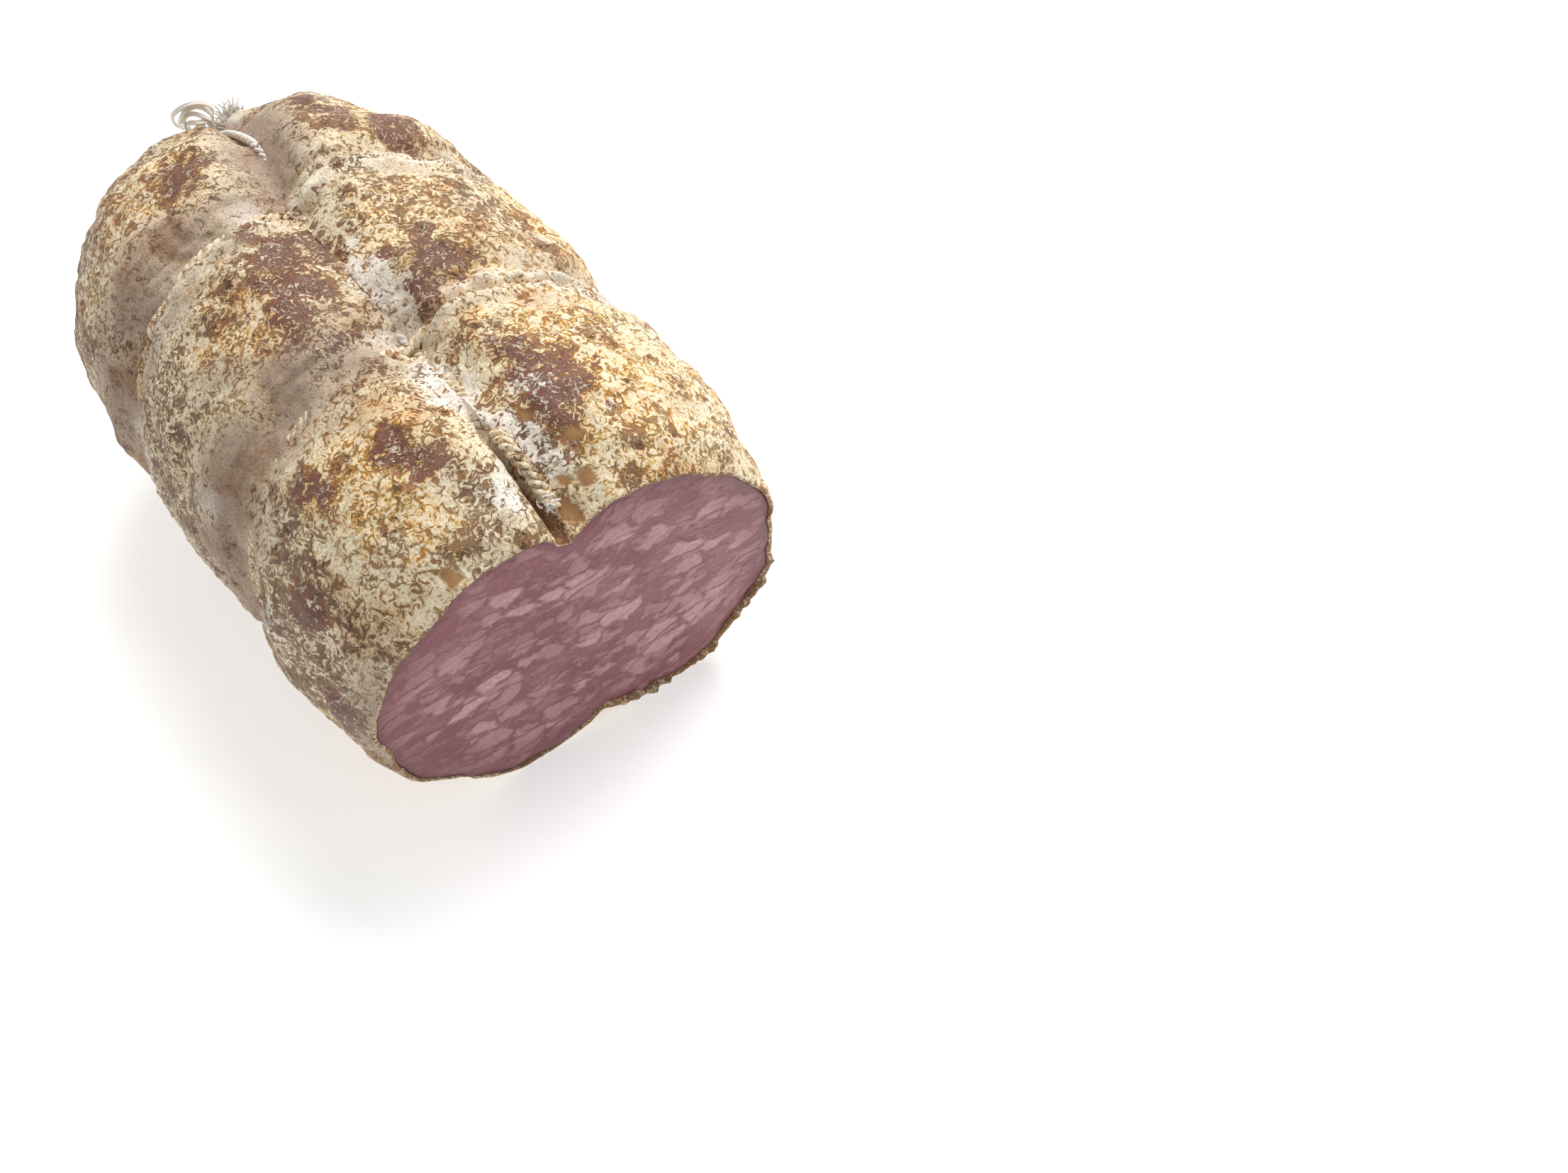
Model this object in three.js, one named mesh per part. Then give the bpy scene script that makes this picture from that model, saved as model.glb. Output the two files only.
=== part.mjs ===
// A tied cured sausage with one end cut off: the meat, its casing, the strings and the gathered, tied neck.
// Millimetres, +Z up. The sausage lies along Y on z = 0, with its cut end towards -Y.
import * as THREE from 'three';

// The stuffed body, measured over its casing.
const bodyLength = 139;            // middle of the cut to the rounded end
const bodyWidth = 90;
const bodyHeight = 83;             // before its own weight presses the underside flat
const restingSink = 4;             // how much of the height is pressed flat underneath
const ovalPower = 2.12;            // 2 is a plain ellipse, higher is squarer
const widestAt = 22;
const narrowingToCut = 0.11;       // share of the width lost between widestAt and the cut
const cutSlant = -0.08;            // rise of the cut along Y for each millimetre along X
const cutSlantReach = 46;          // the slant has died out this far behind the cut

// The rounded end, which is gathered a little off centre.
const roundedEndLength = 54;
const endPower = 1.9;
const endBlunting = 2.2;
const endVeer = 9;                 // how far the gathered middle lies off centre
const veerPower = 6;               // higher keeps the veer nearer the gathered middle

// The casing, and the gap that keeps it clear of the meat.
const casingWall = 0.9;
const casingGap = 0.3;

// The strings, and the grooves that they press into the body.
const stringDiameter = 2.2;
const stringGap = 0.3;
const facetAllowance = 0.35;       // extra lift that keeps a string clear of flat facets
const topGrooveDepth = 6.6;
const topGrooveWidth = 6;
const undersideGrooveDepth = 2 * stringDiameter;  // two strings cross inside it
const undersideGrooveWidth = 6;
const girthGrooveSpare = 1;
const girthGrooveDepth = stringDiameter + girthGrooveSpare;
const girthGrooveWidth = 6;
const groovePower = 1.8;           // 1 is a sharp crease, 2 a rounded furrow
const grooveCutOff = 0.01;         // share of the depth below which a groove is gone
const grooveFadeRadius = 24;       // nearer the gathered middle than this the grooves die out
const grooveFadePower = 1.5;
const girths = [
  { name: 'front', along: 40.5, slant: 0.06 },
  { name: 'rear', along: 81, slant: 0.05 },
];

// The lengthwise string's cut ends, measured back from the cut.
const topStringStart = 9;
const undersideStringStart = 2;

// The gathered neck of casing and its tie. It leans up and to one side.
const neckTilt = 0.42;             // radians above level
const neckTurn = -0.26;            // radians towards +X
const neckRadius = 3.2;
const neckLength = 12.5;
const neckTieAt = 5.5;
const neckTieTurns = 2;
const frillRadius = 4.4;
const frillLip = 1.4;

// The loops and tails that spring from the tie, placed sideways from the middle of the neck.
const tieClearance = 1.5;
const loopStrandDiameter = 0.8;
const loopStrands = 5;
const smallestLoopRadius = 1.4;
const loopCentre = -7.4;
const loopRise = 4.6;              // how far the loops' middle stands above their foot
const loopSpacing = 0.85;
const loopOverrun = 0.35;          // radians that each loop runs on past its half circle
const loopFoot = -2.9;
const tailLength = 7;
const tailFoot = 0.4;
const tailSpread = 5;
const tailLeans = [0.1, 0.75];

// Fineness of the faceted surfaces.
const columns = 44;
const columnCrowding = 0.31;       // draws the columns towards the lengthwise grooves
const rowSpacing = 9;
const closingRows = 6;
const closingPower = 1.7;
const lastRowInset = 1.2;
const alongStep = 0.5;
const turnStep = 0.04;
const stringSides = 6;
const lengthwiseSteps = 48;
const girthSteps = 60;
const hitchSteps = 16;
const loopSteps = 14;

const topTurn = Math.PI / 2;
const undersideTurn = -Math.PI / 2;

function clampTo01(value) {
  return Math.min(Math.max(value, 0), 1);
}

// The share of a groove's depth that is pressed in at a distance from its middle.
function furrow(distance, width) {
  const share = Math.exp(-(Math.abs(distance / width) ** groovePower));
  return Math.max(share - grooveCutOff, 0) / (1 - grooveCutOff);
}

// The oval section at one station: half width, half height, height of its centre and its sideways veer.
function section(along) {
  const towardsCut = clampTo01((widestAt - along) / widestAt);
  const fullness = 1 - narrowingToCut * towardsCut ** 2;
  const intoEnd = clampTo01((along - bodyLength + roundedEndLength) / roundedEndLength);
  const rounding = (1 - intoEnd ** endPower) ** (1 / endBlunting);
  return {
    halfWidth: (bodyWidth / 2) * fullness * rounding,
    halfHeight: (bodyHeight / 2) * fullness * rounding,
    centreHeight: (bodyHeight / 2) * fullness - restingSink,
    veer: endVeer * intoEnd ** veerPower,
  };
}

function girthGroove(along, x) {
  return girths.reduce(
    (depth, girth) => depth + girthGrooveDepth * furrow(along - girth.along - girth.slant * x, girthGrooveWidth),
    0,
  );
}

// A point on the body's outside, at a station along it and a turn round it (0 is +X, a quarter is up).
// The oval is pressed flat on z = 0, then the grooves are pressed in towards its centre.
function bodyPoint(along, turn) {
  const { halfWidth, halfHeight, centreHeight, veer } = section(along);
  const c = Math.cos(turn);
  const s = Math.sin(turn);
  const reach = (Math.abs(c) ** ovalPower + Math.abs(s) ** ovalPower) ** (-1 / ovalPower);
  const x = halfWidth * reach * c;
  const z = Math.max(centreHeight + halfHeight * reach * s, 0) - centreHeight;
  const lengthwise = s > 0
    ? topGrooveDepth * furrow(x, topGrooveWidth) * s
    : -undersideGrooveDepth * furrow(x, undersideGrooveWidth) * s;
  const radius = Math.hypot(x, z);
  const shallowing = clampTo01(radius / grooveFadeRadius) ** grooveFadePower;
  const pressed = 1 - ((girthGroove(along, x) + lengthwise) * shallowing) / Math.max(radius, 1e-6);
  const slant = cutSlant * clampTo01(1 - along / cutSlantReach);
  return new THREE.Vector3(veer + x * pressed, along + slant * x, centreHeight + z * pressed);
}

// The unit vector that points straight out of the body at the same place.
function bodyNormal(along, turn) {
  const backward = bodyPoint(along + alongStep, turn).sub(bodyPoint(along - alongStep, turn));
  const round = bodyPoint(along, turn + turnStep).sub(bodyPoint(along, turn - turnStep));
  return backward.cross(round).normalize();
}

function offsetBodyPoint(along, turn, out) {
  return bodyPoint(along, turn).addScaledVector(bodyNormal(along, turn), out);
}

const turns = Array.from({ length: columns }, (_, index) => {
  const even = (2 * Math.PI * index) / columns;
  return even + columnCrowding * Math.sin(2 * even);
});

// Stations along the body: even ones, closer ones at the girths, and closing ones in the rounded end.
const lastStation = bodyLength - lastRowInset;
const stations = (() => {
  const straightEnd = bodyLength - roundedEndLength / 2;
  const even = Array.from({ length: Math.ceil(straightEnd / rowSpacing) }, (_, index) => index * rowSpacing);
  const clear = even.filter((y) => girths.every(({ along }) => Math.abs(y - along) > 1.5 * girthGrooveWidth));
  const nearGirths = girths.flatMap(({ along }) => [-1, -0.5, 0, 0.5, 1].map((k) => along + k * girthGrooveWidth));
  const closing = Array.from({ length: closingRows + 1 }, (_, index) => {
    const left = 1 - index / closingRows;
    return lastStation - (lastStation - straightEnd) * left ** closingPower;
  });
  return [...clear, ...nearGirths, ...closing].sort((a, b) => a - b);
})();

// A ring of points round the body, an even distance out from its surface. The first ring lies in the cut.
function bodyRing(along, out) {
  return turns.map((turn) => {
    const point = offsetBodyPoint(along, turn, out);
    if (along === 0) point.y = cutSlant * point.x;
    return point;
  });
}

function middleOf(ring) {
  const sum = ring.reduce((total, point) => total.add(point), new THREE.Vector3());
  return sum.divideScalar(ring.length);
}

// A closed skin over rings of points that all turn the same way, each four-cornered patch split across its
// shorter diagonal. Open rows end in a point at the middle of the first and last rings, and a loop of rows
// joins its last ring to its first.
function skinOver(rings, isLoop = false) {
  const sides = rings[0].length;
  const points = rings.flat();
  const faces = [];
  const rowCount = isLoop ? rings.length : rings.length - 1;
  for (let row = 0; row < rowCount; row += 1) {
    const here = row * sides;
    const next = ((row + 1) % rings.length) * sides;
    for (let side = 0; side < sides; side += 1) {
      const other = (side + 1) % sides;
      const [a, b, c, d] = [here + side, next + side, next + other, here + other];
      const splitAtoC = points[a].distanceToSquared(points[c]) <= points[b].distanceToSquared(points[d]);
      faces.push(...(splitAtoC ? [a, b, c, a, c, d] : [a, b, d, b, c, d]));
    }
  }
  if (!isLoop) {
    const start = points.length;
    const end = start + 1;
    const lastRow = (rings.length - 1) * sides;
    points.push(middleOf(rings[0]), middleOf(rings.at(-1)));
    for (let side = 0; side < sides; side += 1) {
      const other = (side + 1) % sides;
      faces.push(start, side, other);
      faces.push(end, lastRow + other, lastRow + side);
    }
  }
  const positions = points.flatMap((point) => point.toArray());
  const geometry = new THREE.BufferGeometry();
  geometry.setAttribute('position', new THREE.Float32BufferAttribute(positions, 3));
  geometry.setIndex(faces);
  geometry.computeVertexNormals();
  return geometry;
}

// A string of round section along a smooth curve through the points.
function stringThrough(points, diameter, steps, isLoop = false) {
  const curve = new THREE.CatmullRomCurve3(points, isLoop);
  const { normals, binormals } = curve.computeFrenetFrames(steps, isLoop);
  const rings = Array.from({ length: isLoop ? steps : steps + 1 }, (_, step) => {
    const centre = curve.getPointAt(step / steps);
    return Array.from({ length: stringSides }, (__, side) => {
      const turn = (-2 * Math.PI * side) / stringSides;
      return centre.clone()
        .addScaledVector(normals[step], (Math.cos(turn) * diameter) / 2)
        .addScaledVector(binormals[step], (Math.sin(turn) * diameter) / 2);
    });
  });
  return skinOver(rings, isLoop);
}

// The neck grows out of the gathered middle of the rounded end.
const neckDirection = new THREE.Vector3(
  -Math.sin(neckTurn) * Math.cos(neckTilt),
  Math.cos(neckTurn) * Math.cos(neckTilt),
  Math.sin(neckTilt),
);
const neckSide = new THREE.Vector3(Math.cos(neckTurn), Math.sin(neckTurn), 0);
const neckUp = new THREE.Vector3().crossVectors(neckSide, neckDirection);
const neckRoot = new THREE.Vector3(endVeer, bodyLength, section(bodyLength).centreHeight);
const neckTieEnd = neckTieAt + neckTieTurns * stringDiameter;

function neckPoint(sideways, out, upwards) {
  return neckRoot.clone()
    .addScaledVector(neckSide, sideways)
    .addScaledVector(neckDirection, out)
    .addScaledVector(neckUp, upwards);
}

function neckRing(out, radius) {
  return turns.map((turn) => neckPoint(radius * Math.cos(turn), out, radius * Math.sin(turn)));
}

function casing() {
  const inside = stations.map((along) => bodyRing(along, -casingWall)).reverse();
  const outside = stations.map((along) => bodyRing(along, 0));
  const neck = [
    neckRing(neckTieAt - stringDiameter, neckRadius),
    neckRing(neckTieEnd, neckRadius),
    neckRing(neckLength - frillLip, frillRadius),
    neckRing(neckLength, frillRadius - frillLip / 2),
  ];
  return skinOver([...inside, ...outside, ...neck]);
}

function meat() {
  return skinOver(stations.map((along) => bodyRing(along, -casingWall - casingGap)));
}

const stringLift = stringDiameter / 2 + stringGap + facetAllowance;
const stringPitch = stringDiameter + stringGap;

// The lengthwise string lies in its groove from its cut end to the side of the neck tie.
function lengthwiseString(turn, start) {
  const count = 36;
  const onBody = Array.from({ length: count + 1 }, (_, index) => {
    const along = start + ((lastStation - start) * index) / count;
    return offsetBodyPoint(along, turn, stringLift);
  });
  const atTie = neckPoint(0, neckTieAt - stringDiameter, Math.sin(turn) * (neckRadius + 2.5 * stringLift));
  return stringThrough([...onBody, atTie], stringDiameter, lengthwiseSteps);
}

// A girth string lies in its groove and passes over the lengthwise string where the two cross. On the steep
// walls of the lengthwise grooves it stands further out, so that it clears the wall as well.
function girthPath({ along, slant }) {
  const count = 72;
  const crossingLift = stringLift + stringPitch;
  const centre = new THREE.Vector3(0, along, section(along).centreHeight);
  const bridgeTop = bodyPoint(along, topTurn).z + crossingLift;
  const bridgeUnderside = bodyPoint(along, undersideTurn).z - crossingLift;
  return Array.from({ length: count }, (_, index) => {
    const turn = (2 * Math.PI * index) / count;
    const x = (bodyWidth / 2) * Math.cos(turn);
    const surface = bodyPoint(along + slant * x, turn);
    const outward = surface.clone().sub(centre).setY(0).normalize();
    const steepness = Math.max(outward.dot(bodyNormal(along + slant * x, turn)), 0.5);
    const point = surface.addScaledVector(outward, (stringLift + facetAllowance / 2) / steepness);
    const isAtCrossing = Math.abs(point.x) < topGrooveWidth;
    if (isAtCrossing && turn < Math.PI) point.z = Math.max(point.z, bridgeTop);
    if (isAtCrossing && turn > Math.PI) point.z = Math.min(point.z, bridgeUnderside);
    point.z = Math.max(point.z, stringDiameter / 2 + stringGap);
    return point;
  });
}

// The hitch that locks a girth string to the top string: a small ring of string on the crossing, clear of
// the highest point of the girth string under it.
function hitch({ along }, path) {
  const count = 10;
  const radius = 1.3 * stringDiameter;
  const isUnderHitch = ({ x, z }) => Math.abs(x) < radius + stringDiameter && z > section(along).centreHeight;
  const girthCurve = new THREE.CatmullRomCurve3(path, true).getSpacedPoints(8 * girthSteps);
  const height = Math.max(...girthCurve.filter(isUnderHitch).map(({ z }) => z)) + stringPitch;
  const points = Array.from({ length: count }, (_, index) => {
    const turn = (2 * Math.PI * index) / count;
    return new THREE.Vector3(radius * Math.cos(turn), along + radius * Math.sin(turn), height);
  });
  return stringThrough(points, stringDiameter, hitchSteps, true);
}

// The neck tie: turns of string pulled round the neck, side by side, as one scalloped ring.
function neckTie() {
  const inner = neckRadius + stringGap;
  const start = neckTieAt - stringDiameter / 2;
  const end = start + neckTieTurns * stringDiameter;
  const shares = Array.from({ length: 4 * neckTieTurns + 1 }, (_, index) => index / 4);
  const outerRings = shares.map((share) => neckRing(
    start + share * stringDiameter,
    inner + (stringDiameter / 2) * (1 + Math.abs(Math.sin(Math.PI * share))),
  ));
  return skinOver([...outerRings, neckRing(end, inner), neckRing(start, inner)], true);
}

const tieOutside = neckRadius + stringGap + stringDiameter + tieClearance;

// One strand of the bundle of thin loops. All spring from one place on the tie and curl over sideways.
function loopStrand(index) {
  const count = 9;
  const radius = smallestLoopRadius + loopSpacing * index;
  const out = neckTieAt + stringDiameter + loopSpacing * (index - (loopStrands - 1) / 2);
  const curl = Array.from({ length: count }, (_, step) => {
    const turn = (step / (count - 1)) * (Math.PI + loopOverrun);
    return neckPoint(loopCentre + radius * Math.cos(turn), out, tieOutside + loopRise + radius * Math.sin(turn));
  });
  return stringThrough([neckPoint(loopFoot, out, tieOutside), ...curl], loopStrandDiameter, loopSteps);
}

// A frayed tail of the tie, standing up beside the loops.
function tail(lean) {
  const points = [0, 0.33, 0.66, 1].map((share) => neckPoint(
    tailFoot + lean * share * tailLength,
    neckTieAt + stringDiameter + lean * tailSpread,
    tieOutside + share * tailLength,
  ));
  return stringThrough(points, stringDiameter * 0.8, 4);
}

const finishes = {
  meat: new THREE.MeshStandardMaterial({ color: 0x9a5f68, roughness: 0.75, metalness: 0 }),
  casing: new THREE.MeshStandardMaterial({ color: 0xb59f7f, roughness: 0.9, metalness: 0 }),
  string: new THREE.MeshStandardMaterial({ color: 0xcfc4b0, roughness: 0.95, metalness: 0 }),
  strand: new THREE.MeshStandardMaterial({ color: 0xd8cfc0, roughness: 0.6, metalness: 0 }),
};

const pieces = new THREE.Group();

function addPiece(name, geometry, finish) {
  const piece = new THREE.Mesh(geometry, finish);
  piece.name = name;
  pieces.add(piece);
}

addPiece('meat', meat(), finishes.meat);
addPiece('casing', casing(), finishes.casing);
addPiece('top_string', lengthwiseString(topTurn, topStringStart), finishes.string);
addPiece('underside_string', lengthwiseString(undersideTurn, undersideStringStart), finishes.string);
girths.forEach((girth) => {
  const path = girthPath(girth);
  addPiece(`${girth.name}_girth_string`, stringThrough(path, stringDiameter, girthSteps, true), finishes.string);
  addPiece(`${girth.name}_hitch`, hitch(girth, path), finishes.string);
});
addPiece('neck_tie', neckTie(), finishes.string);
for (let index = 0; index < loopStrands; index += 1) {
  addPiece(`loop_strand_${index + 1}`, loopStrand(index), finishes.strand);
}
tailLeans.forEach((lean, index) => {
  addPiece(`tie_tail_${index + 1}`, tail(lean), finishes.string);
});

// The origin is on the resting surface, under the middle of the whole piece.
const extent = new THREE.Box3().setFromObject(pieces);
const middle = extent.getCenter(new THREE.Vector3());
pieces.position.set(-middle.x, -middle.y, -extent.min.z);

const sausage = new THREE.Group();
sausage.add(pieces);

export default sausage;
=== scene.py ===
import math

import bpy
import numpy as np
from mathutils import Matrix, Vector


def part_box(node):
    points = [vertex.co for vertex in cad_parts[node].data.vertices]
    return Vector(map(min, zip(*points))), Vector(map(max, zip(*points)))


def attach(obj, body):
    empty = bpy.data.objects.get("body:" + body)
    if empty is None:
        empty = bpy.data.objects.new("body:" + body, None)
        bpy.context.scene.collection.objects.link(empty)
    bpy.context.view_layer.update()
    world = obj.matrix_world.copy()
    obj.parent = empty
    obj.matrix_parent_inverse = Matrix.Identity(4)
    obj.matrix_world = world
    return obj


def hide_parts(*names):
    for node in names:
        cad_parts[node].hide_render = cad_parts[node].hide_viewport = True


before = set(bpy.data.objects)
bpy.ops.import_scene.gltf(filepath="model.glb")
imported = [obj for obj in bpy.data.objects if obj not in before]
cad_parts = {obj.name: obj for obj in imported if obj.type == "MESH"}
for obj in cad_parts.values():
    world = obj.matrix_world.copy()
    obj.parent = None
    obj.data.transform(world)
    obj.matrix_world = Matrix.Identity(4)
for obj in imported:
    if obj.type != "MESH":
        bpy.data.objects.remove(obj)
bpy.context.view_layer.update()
scene = bpy.context.scene

# ---- Camera ----
# It stands above the cut end and to its left, turned a little about its own line of sight, and looks down
# along the sausage.
camera_turn = math.radians(-41.84)
camera_drop = math.radians(58.85)
camera_roll = math.radians(1.77)
camera_place = (-0.0479, -0.1792, 0.2343)

level = np.array([math.cos(camera_turn), math.sin(camera_turn), 0])
ahead = np.array([
    -math.sin(camera_turn) * math.cos(camera_drop),
    math.cos(camera_turn) * math.cos(camera_drop),
    -math.sin(camera_drop),
])
above = np.cross(level, ahead)
camera_right = math.cos(camera_roll) * level + math.sin(camera_roll) * above
camera_up = math.cos(camera_roll) * above - math.sin(camera_roll) * level

camera_data = bpy.data.cameras.new("camera")
camera_data.lens = 29.45
camera_data.sensor_width = 36
camera = bpy.data.objects.new("camera", camera_data)
camera.matrix_world = Matrix.Translation(camera_place) @ Matrix(
    np.column_stack([camera_right, camera_up, -ahead]).tolist()
).to_4x4()
scene.collection.objects.link(camera)
scene.camera = camera

# ---- Casing ----
# A natural gut, stuffed tight and tied in three lobes, dried until mould has bloomed all over it. One end is
# gathered into a pleated neck under the tie, and the other is cut through, which leaves its wall as a rim.
body_length = 139
body_width = 90
body_height = 83
resting_sink = 4
oval_power = 2.12
widest_at = 22
narrowing_to_cut = 0.11
cut_slant = -0.08
cut_slant_reach = 46
rounded_end_length = 54
end_power = 1.9
end_blunting = 2.2
end_veer = 9
veer_power = 6
top_groove = (6.6, 6)
underside_groove = (4.4, 6)
girth_groove = (3.2, 6)
groove_power = 1.8
groove_cut_off = 0.01
fade_radius = 24
fade_power = 1.5
casing_wall = 0.8
gathered_end = 1.2
last_station = body_length - gathered_end

# Each girth string's place along the body, its slant, how far it bows back over the top, the turns in degrees
# between which it shows through the mould, and how far apart the two bands of mould over it lie.
girths = {
    "front": {"along": 40.5, "slant": 0.06, "bow": 3, "shows": (-40, 98), "spacing": 4.4},
    "rear": {"along": 81, "slant": 0.05, "bow": 2.5, "shows": (20, 150), "spacing": 1.6},
}

# The body's middle at the cut lies this far along the frame's Y.
hitch_low, hitch_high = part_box("rear_hitch")
cut_at = (hitch_low.y + hitch_high.y) / 2 * 1000 - girths["rear"]["along"]


def unit(vectors):
    """The vectors, each divided by its length."""
    return vectors / np.maximum(np.linalg.norm(vectors, axis=-1, keepdims=True), 1e-9)


def together(*parts):
    """The parts as the last axis of one array, spread to the same shape first."""
    return np.stack(np.broadcast_arrays(*parts), -1)


def ease(values, low, high):
    """0 below low, 1 above high, and three squares less two cubes of the share of the way in between."""
    share = np.clip((values - low) / (high - low), 0, 1)
    return share * share * (3 - 2 * share)


def bell(distance, width):
    """1 at no distance, falling with the exponential of minus the square of distance over width."""
    return np.exp(-((distance / width) ** 2))


def ripple(places, size, seed, waves=28):
    """A smooth random height, mostly between -1 and 1: the sum of plane waves of one length, size, with
    random directions and phases, over the square root of their number."""
    rng = np.random.default_rng(seed)
    directions = unit(rng.normal(size=(waves, 3))).T * (2 * math.pi / size)
    phases = rng.uniform(0, 2 * math.pi, waves)
    return np.sin(places @ directions + phases).sum(-1) / math.sqrt(waves)


def furrow(distance, width):
    """The share of a groove's depth at a distance from its middle: the exponential of minus the distance over
    the width to the groove power, less a cut-off so that it ends."""
    share = np.exp(-(np.abs(distance / width) ** groove_power))
    return np.maximum(share - groove_cut_off, 0) / (1 - groove_cut_off)


def in_degrees(turn):
    """The turn in degrees, between -180 and 180."""
    return np.degrees(np.arctan2(np.sin(turn), np.cos(turn)))


def from_girth(girth, along, x, turn):
    """How far behind a girth string a place is: its station less the string's own, which slants with x and
    bows back with the square of the height over the top."""
    return along - girth["along"] - girth["slant"] * x - girth["bow"] * np.clip(np.sin(turn), 0, 1) ** 2


def top_line(along):
    """How far to the right the groove on top strays on its way over the rear lobe: a bell of the station."""
    return 5 * bell(along - 111, 17)


def body_point(along, turn):
    """The smooth outside of the stuffed body, in millimetres from the middle of the cut. Its section is an
    oval that narrows to the cut and closes at the rounded end, is pressed flat where it rests, and has the
    string grooves pressed in towards its middle."""
    towards_cut = np.clip((widest_at - along) / widest_at, 0, 1)
    fullness = 1 - narrowing_to_cut * towards_cut**2
    into_end = np.clip((along - body_length + rounded_end_length) / rounded_end_length, 0, 1)
    rounding = (1 - into_end**end_power) ** (1 / end_blunting)
    centre_height = body_height / 2 * fullness - resting_sink
    c, s = np.cos(turn), np.sin(turn)
    reach = (np.abs(c) ** oval_power + np.abs(s) ** oval_power) ** (-1 / oval_power)
    x = body_width / 2 * fullness * rounding * reach * c
    z = np.maximum(centre_height + body_height / 2 * fullness * rounding * reach * s, 0) - centre_height
    girth_depth = sum(
        girth_groove[0] * furrow(from_girth(girth, along, x, turn), girth_groove[1])
        for girth in girths.values()
    )
    lengthwise = np.where(
        s > 0,
        top_groove[0] * furrow(x - top_line(along), top_groove[1]) * s,
        -underside_groove[0] * furrow(x, underside_groove[1]) * s,
    )
    radius = np.maximum(np.hypot(x, z), 1e-6)
    pressed = 1 - (girth_depth + lengthwise) * np.clip(radius / fade_radius, 0, 1) ** fade_power / radius
    slant = cut_slant * np.clip(1 - along / cut_slant_reach, 0, 1)
    veer = end_veer * into_end**veer_power
    return together(veer + x * pressed, along + slant * x, centre_height + z * pressed)


def body_normal(along, turn):
    """Straight out of the smooth body: across the way back along it and the way round it."""
    backward = body_point(along + 0.5, turn) - body_point(along - 0.5, turn)
    around = body_point(along, turn + 0.02) - body_point(along, turn - 0.02)
    return unit(np.cross(backward, around))


def overgrown_bands(girth, behind, degrees, places):
    """The two bands of mould that have grown over a girth string on the right, a spacing apart at the top
    and closer further out, and the thin one in front of its groove on the left, each a bell of the distance
    from its middle."""
    start, end = girth["shows"]
    on_right = ease(degrees, start - 12, start + 12) * (1 - ease(degrees, 83, 92))
    on_left = ease(degrees, 92, 100) * (1 - ease(degrees, end - 15, end + 12))
    half = girth["spacing"] / 2 * (0.35 + 0.65 * ease(degrees, 15, 60))
    moved = behind - 0.45 * ripple(places, 8, 44)
    pair = np.maximum(bell(moved - half, 1.25), bell(moved + half, 1.25))
    return on_right * pair + 0.75 * on_left * bell(moved + 2.8, 0.95)


# The lumps in the casing, each with its height, size and seed.
lumps = ((0.5, 19, 1), (0.26, 8.5, 2), (0.13, 4, 3), (0.07, 2.2, 4))


def skin_relief(along, turn, places):
    """How far the casing stands out from the smooth body: lumps, creases beside the girth strings and puckers
    across them, a ridge over each buried string, a crack down the left of the top string near the cut, and
    pleats that deepen towards the gathered end."""
    x = places[..., 0]
    out = sum(height * ripple(places, size, seed) for height, size, seed in lumps)
    degrees = in_degrees(turn)
    for seed, girth in enumerate(girths.values()):
        behind = from_girth(girth, along, x, turn)
        crease_phase = 2.4 * behind + 2.2 * ripple(places, 17, 10 + seed)
        out += 0.26 * bell(behind, 10) * (1 - bell(behind, 2)) * np.sin(crease_phase)
        pucker_phase = 34 * turn + 2.6 * ripple(places, 15, 20 + seed)
        pucker = np.clip(np.sin(pucker_phase), 0, 1) * (1 + 0.6 * ripple(places, 20, 30))
        out -= 0.32 * bell(behind, 7) * pucker
        bands = overgrown_bands(girth, behind, degrees, places)
        out += bands * (1.7 + 0.4 * ripple(places, 5, 40 + seed)) - 0.35 * bell(behind - 4.2, 1.2)
        out += 0.2 * bell(behind, 2)
    # Along the top string, from the cut backwards: an open crack with banks, a mould-filled stretch with a
    # shallow seam to its left, and a ridge where the string is buried.
    near_cut = 1 - ease(along, 19, 27)
    wander = ripple(places, 9, 50)
    crack = near_cut * (0.4 + 2.2 * ease(along, 0.5, 4)) * bell(x + 1.55 + 0.25 * wander, 0.55)
    banks = near_cut * (1.3 * bell(x + 5.0, 3) + 0.6 * bell(x - 1.8, 1.4))
    seam = 0.9 * (ease(along, 17, 22) - ease(along, 31, 38)) * bell(x + 2.2 + 0.3 * wander, 0.5)
    filling = ease(along, 16, 22) * (1 - ease(along, 37, 42)) * bell(x, 3.4)
    filling = 1.9 * filling * (1 + 0.2 * ripple(places, 4, 51))
    ridge = 2.2 * ease(along, 46, 54) * bell(x, 4) * (1 - ease(along, 84, 92))
    out += (np.sin(turn) > 0) * (banks - crack - seam + filling + ridge)
    towards_neck = ease(along, body_length - 24, last_station)
    pleat_phase = 17 * turn + 1.8 * ripple(places, 22, 60)
    out += towards_neck * (0.75 * np.sin(pleat_phase) + 0.25 * ripple(places, 5, 61))
    return out * ease(places[..., 2], 0.2, 3)


def frame_place(points):
    """Millimetres from the middle of the cut to metres in the frame."""
    return (points + np.array([0, cut_at, 0])) * 0.001


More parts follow.
